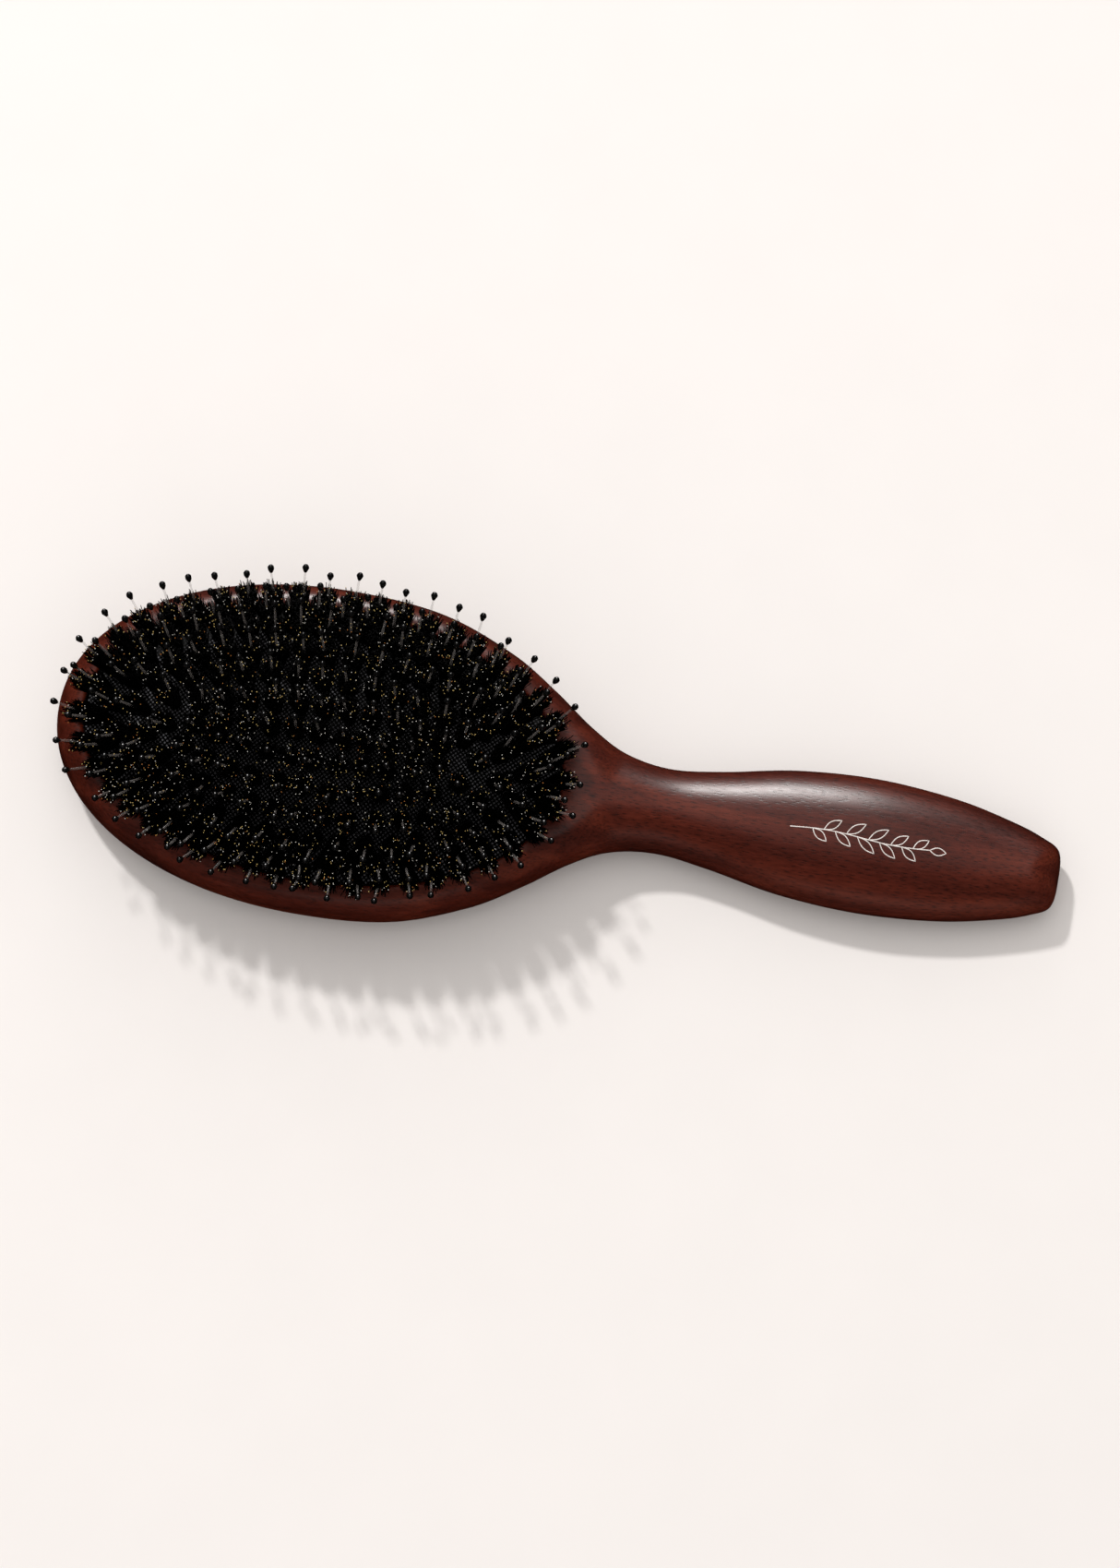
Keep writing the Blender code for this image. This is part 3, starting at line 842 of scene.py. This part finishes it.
def stampTree():
    tree, given = newTree("stamp on feet", (("Template", "Object"), ("Material", "Material")))
    along = addNode(tree, "GeometryNodeInputNamedAttribute", {"Name": "along"},
                    data_type="FLOAT_VECTOR").outputs["Attribute"]
    points = addNode(tree, "GeometryNodeMeshToPoints", {"Mesh": given["Geometry"]})
    facing = addNode(tree, "FunctionNodeAlignRotationToVector", {"Vector": along}, axis="Z")
    template = addNode(tree, "GeometryNodeObjectInfo", {"Object": given["Template"]})
    stamped = addNode(tree, "GeometryNodeInstanceOnPoints", {
        "Points": points.outputs["Points"], "Instance": template.outputs["Geometry"],
        "Rotation": facing.outputs["Rotation"]})
    return finishTree(tree, stamped.outputs["Instances"], given["Material"])


def milkyNylon():
    # drawn nylon, undyed and half clear: it mostly takes the tone of what is behind it, so it is
    # see-through here, because a pin this thin hardly bends the light
    material, tree, shader = newMaterial("milky nylon")
    coords = addNode(tree, "ShaderNodeTexCoord").outputs["Object"]
    noise = addNode(tree, "ShaderNodeTexNoise", {"Vector": coords, "Scale": 700, "Detail": 1})
    color = addNode(tree, "ShaderNodeValToRGB", {"Fac": noise.outputs["Fac"]}, stops=(
        (0.3, "#8f8985"), (0.7, "#a7a19d")))
    tree.links.new(color.outputs["Color"], shader.inputs["Base Color"])
    shader.inputs["Roughness"].default_value = 0.2
    shader.inputs["IOR"].default_value = 1.53
    shader.inputs["Alpha"].default_value = 0.16
    return material


def glossyBall():
    # a drop of black epoxy on the pin's end, cured glossy with a slight orange peel
    material, tree, shader = newMaterial("black epoxy drop")
    coords = addNode(tree, "ShaderNodeTexCoord").outputs["Object"]
    noise = addNode(tree, "ShaderNodeTexNoise", {"Vector": coords, "Scale": 1400, "Detail": 1})
    color = addNode(tree, "ShaderNodeValToRGB", {"Fac": noise.outputs["Fac"]}, stops=(
        (0.3, "#050505"), (0.7, "#0b0b0c")))
    tree.links.new(color.outputs["Color"], shader.inputs["Base Color"])
    shader.inputs["Roughness"].default_value = 0.25
    return material


stamp = stampTree()
nylon = milkyNylon()
epoxy = glossyBall()
shaftTemplate = pinShaft()
ballTemplate = ballTip()
for group, feet in tuftGroups.items():
    label = group.replace("_tufts", "").replace("_", "")
    node = "pin_row" if group == "centre_tufts" else "pin_ring_" + group.split("_")[1]
    leaned = uneven(feet, tufts["unevenness"])
    shafts = growPiece("pinShafts_" + label, feetObject("feet", leaned), stamp, {
        "Template": shaftTemplate, "Material": nylon})
    balls = growPiece("ballTips_" + label, feetObject("feet", leaned), stamp, {
        "Template": ballTemplate, "Material": epoxy})
    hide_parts(node)
    for piece in (shafts, balls):
        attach(piece, group)
for template in (shaftTemplate, ballTemplate):
    bpy.data.objects.remove(template, do_unlink=True)
print("pins made")


studio = {
    "roll": math.radians(9.9),      # the handle slopes down to the right
    "tilt": math.radians(9.3),      # the camera stands this far below the face's own axis
    "distance": 1.0,
    "frameHeight": 0.3694,
    "aim": (0.0561, -0.0095),       # along the picture's right and up, from the head's middle
    "aimHeight": 0.020,
    "floorSize": 8.0,
    "worldStrength": 0.62,
}
# each softbox: its place along right, up and above, width and height, watts, colour, and the kind
# of ray that doesn't see it. Two only draw highlights, and two only give even light and shadows
softboxes = {
    "overhead": ((0, 4.5, 2.1), (1.7, 1.4), 360, "#fffcfa", "visible_diffuse"),
    "front": ((0, 1.05, 4.55), (5.5, 3.4), 44, "#fffaf7", "visible_diffuse"),
    "ceiling": ((0, 1.2, 4.0), (3.0, 3.0), 28, "#fffaf7", "visible_glossy"),
    "low": ((0, -4.8, 0.9), (3.0, 1.6), 7, "#fff4ee", None),
    "key": ((-0.9, 1.75, 2.25), (0.2, 0.2), 48, "#fffcfa", "visible_glossy"),
}
right = Vector((math.cos(studio["roll"]), math.sin(studio["roll"]), 0))
up = Vector((-math.sin(studio["roll"]), math.cos(studio["roll"]), 0))
above = Vector((0, 0, 1))
facing = above * math.cos(studio["tilt"]) - up * math.sin(studio["tilt"])
target = right * studio["aim"][0] + up * studio["aim"][1] + above * studio["aimHeight"]


def lookFrom(obj, place, at, upward):
    forward = (at - place).normalized()
    side = forward.cross(upward).normalized()
    top = side.cross(forward)
    obj.matrix_world = Matrix((
        (side.x, top.x, -forward.x, place.x), (side.y, top.y, -forward.y, place.y),
        (side.z, top.z, -forward.z, place.z), (0, 0, 0, 1)))


def addCamera():
    data = bpy.data.cameras.new("camera")
    data.sensor_width = 36
    data.lens = data.sensor_width * studio["distance"] / studio["frameHeight"]
    data.clip_start = 0.01
    camera = bpy.data.objects.new("camera", data)
    bpy.context.collection.objects.link(camera)
    lookFrom(camera, target + facing * studio["distance"], target, up)
    bpy.context.scene.camera = camera


def addSoftbox(name, place, size, power, color, unseenBy):
    data = bpy.data.lights.new(name, "AREA")
    data.shape = "RECTANGLE"
    data.size, data.size_y = size
    data.energy = power
    data.color = linearColor(color)[:3]
    light = bpy.data.objects.new(name, data)
    bpy.context.collection.objects.link(light)
    lookFrom(light, right * place[0] + up * place[1] + above * place[2], Vector((0.05, 0, 0.01)), above)
    if unseenBy:
        setattr(light, unseenBy, False)


def paperFloor():
    # matt warm-white studio paper
    material, tree, shader = newMaterial("warm white paper")
    coords = addNode(tree, "ShaderNodeTexCoord").outputs["Object"]
    noise = addNode(tree, "ShaderNodeTexNoise", {"Vector": coords, "Scale": 40, "Detail": 2})
    color = addNode(tree, "ShaderNodeValToRGB", {"Fac": noise.outputs["Fac"]}, stops=(
        (0.2, "#f1eeec"), (0.8, "#f3f0ee")))
    tree.links.new(color.outputs["Color"], shader.inputs["Base Color"])
    shader.inputs["Roughness"].default_value = 0.9
    return material


def addFloor():
    half = studio["floorSize"] / 2
    corners = [(-half, -half, 0), (half, -half, 0), (half, half, 0), (-half, half, 0)]
    floor = addPiece("floor", corners, [(0, 1, 2, 3)], [paperFloor()])
    floor.visible_glossy = False


def addWorld():
    world = bpy.data.worlds.new("studio")
    world.use_nodes = True
    background = world.node_tree.nodes["Background"]
    background.inputs["Color"].default_value = linearColor("#f6f2ef")
    background.inputs["Strength"].default_value = studio["worldStrength"]
    world.cycles_visibility.glossy = False      # only the softboxes show in the lacquer
    bpy.context.scene.world = world


addCamera()
addFloor()
addWorld()
for name, settings in softboxes.items():
    addSoftbox(name, *settings)
bpy.context.scene.view_settings.view_transform = "Standard"
print("stage set")
